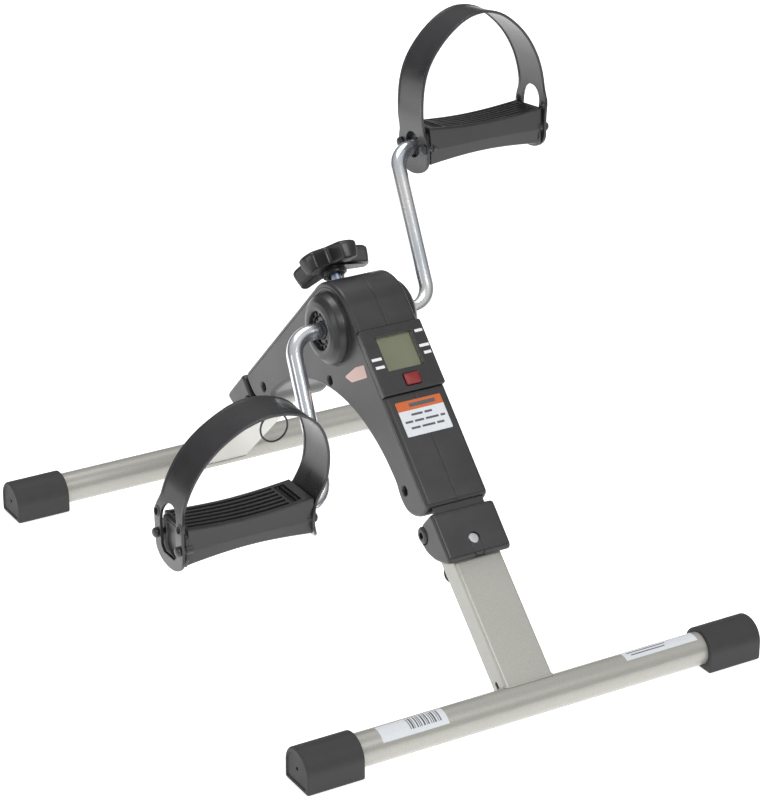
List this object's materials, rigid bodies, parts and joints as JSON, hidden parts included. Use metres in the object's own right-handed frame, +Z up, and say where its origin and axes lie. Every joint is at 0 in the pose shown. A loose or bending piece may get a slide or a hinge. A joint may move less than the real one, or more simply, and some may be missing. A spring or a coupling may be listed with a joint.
{
  "type": "pedal exerciser",
  "caption": "Folding A-frame floor pedal exerciser: bent-rod crank, strapped pedals, screw-tensioned friction brake, small display, fold-under legs held by spring lock pins.",
  "frame": {"origin": "on the floor, centred under the crank axis", "axes": "+Z up; X along the crank axis with -X at the user's left; -Y towards the user, the side with the display"},
  "size_m": [0.4258, 0.5254, 0.4232],
  "materials": {
    "black_abs": "satin moulded ABS",
    "black_nylon": "moulded nylon",
    "black_pvc": "flexible moulded PVC, satin",
    "cap_rubber": "matt",
    "grey_paint": "hammered powder coat",
    "black_paint": "satin",
    "zinc": "bright plated",
    "blue_zinc": "blue zinc plated",
    "steel": "plain",
    "bronze": "sintered",
    "lcd": "liquid crystal display, off",
    "lens": "clear",
    "pcb": "solder mask",
    "cell": "nickel",
    "red_abs": "satin",
    "friction": "brake lining",
    "magnet": "nickel",
    "wire": "insulation",
    "sensor": "glass reed in resin"
  },
  "bodies": {
    "housing": {"left_shell": "black_abs", "right_shell": "black_abs", "shell_screw_front": "zinc", "shell_screw_middle": "zinc", "shell_screw_rear": "zinc", "inner_frame": "steel", "left_bearing": "bronze", "right_bearing": "bronze", "console_bezel": "black_abs", "lcd_window": "lens", "lcd_display": "lcd", "circuit_board": "pcb", "button_cell": "cell", "speed_sensor": "sensor", "sensor_lead": "wire", "tension_nut": "zinc", "front_hinge_bracket": "black_paint", "rear_hinge_bracket": "black_paint", "front_pivot_bolt": "black_paint", "rear_pivot_bolt": "black_paint", "front_pivot_nut": "zinc", "rear_pivot_nut": "zinc"},
    "button": {"mode_button": "red_abs"},
    "crank": {"crankshaft": "zinc", "brake_drum": "steel", "sensor_magnet": "magnet", "left_shaft_collar": "black_nylon", "right_shaft_collar": "black_nylon", "left_spindle_nut": "steel", "right_spindle_nut": "steel"},
    "left_pedal_assembly": {"left_pedal": "black_nylon", "left_strap": "black_pvc", "left_pedal_end_cap": "black_nylon"},
    "right_pedal_assembly": {"right_pedal": "black_nylon", "right_strap": "black_pvc", "right_pedal_end_cap": "black_nylon"},
    "brake": {"brake_shoe": "friction"},
    "knob": {"tension_screw": "blue_zinc", "tension_knob": "black_nylon"},
    "front_leg": {"front_leg_tube": "grey_paint", "front_base_tube": "grey_paint", "front_left_foot_cap": "cap_rubber", "front_right_foot_cap": "cap_rubber", "front_pin_barrel": "zinc", "front_lock_spring": "steel"},
    "front_pin": {"front_lock_pin": "zinc"},
    "front_ring": {"front_pull_ring": "steel"},
    "rear_leg": {"rear_leg_tube": "grey_paint", "rear_base_tube": "grey_paint", "rear_left_foot_cap": "cap_rubber", "rear_right_foot_cap": "cap_rubber", "rear_pin_barrel": "zinc", "rear_lock_spring": "steel"},
    "rear_pin": {"rear_lock_pin": "zinc"},
    "rear_ring": {"rear_pull_ring": "steel"}
  },
  "joints": [
    {"name": "crank_spin", "type": "hinge", "parent": "housing", "child": "crank", "pos_m": [0, 0, 0.223], "axis": [1, 0, 0], "continuous": true},
    {"name": "left_pedal_spin", "type": "hinge", "parent": "crank", "child": "left_pedal_assembly", "pos_m": [-0.1565, -0.08884, 0.12673], "axis": [1, 0, 0], "continuous": true},
    {"name": "right_pedal_spin", "type": "hinge", "parent": "crank", "child": "right_pedal_assembly", "pos_m": [0.1565, 0.08884, 0.31927], "axis": [1, 0, 0], "continuous": true},
    {"name": "brake_travel", "type": "slide", "parent": "housing", "child": "brake", "axis": [0, 0.7031, 0.711], "range_m": [-0.00065, 0.0019]},
    {"name": "knob_turn", "type": "hinge", "parent": "brake", "child": "knob", "pos_m": [0, 0.04741, 0.25487], "axis": [0, 0.7031, 0.711], "range_deg": [-180, 540]},
    {"name": "mode_button_press", "type": "slide", "parent": "housing", "child": "button", "axis": [0, 0.7031, -0.711], "range_m": [0, 0.0015], "stiffness_N_per_m": 300, "springref_m": -0.001},
    {"name": "front_leg_fold", "type": "hinge", "parent": "housing", "child": "front_leg", "pos_m": [0, -0.137, 0.1065], "axis": [1, 0, 0], "range_deg": [0, 90]},
    {"name": "front_pin_pull", "type": "slide", "parent": "front_leg", "child": "front_pin", "axis": [0, 0.6871, -0.7266], "range_m": [0, 0.009], "stiffness_N_per_m": 800, "springref_m": -0.004, "deforming": ["front_lock_spring"]},
    {"name": "front_ring_swing", "type": "hinge", "parent": "front_pin", "child": "front_ring", "pos_m": [0, -0.14514, 0.08901], "axis": [1, 0, 0], "range_deg": [-40, 50]},
    {"name": "rear_leg_fold", "type": "hinge", "parent": "housing", "child": "rear_leg", "pos_m": [0, 0.137, 0.1065], "axis": [-1, 0, 0], "range_deg": [0, 90]},
    {"name": "rear_pin_pull", "type": "slide", "parent": "rear_leg", "child": "rear_pin", "axis": [0, -0.6871, -0.7266], "range_m": [0, 0.009], "stiffness_N_per_m": 800, "springref_m": -0.004, "deforming": ["rear_lock_spring"]},
    {"name": "rear_ring_swing", "type": "hinge", "parent": "rear_pin", "child": "rear_ring", "pos_m": [0, 0.14514, 0.08901], "axis": [-1, 0, 0], "range_deg": [-40, 50]}
  ],
  "couplings": [
    {"joint": "brake_travel", "follows": "knob_turn", "m_per_rad": 0.00019894}
  ]
}
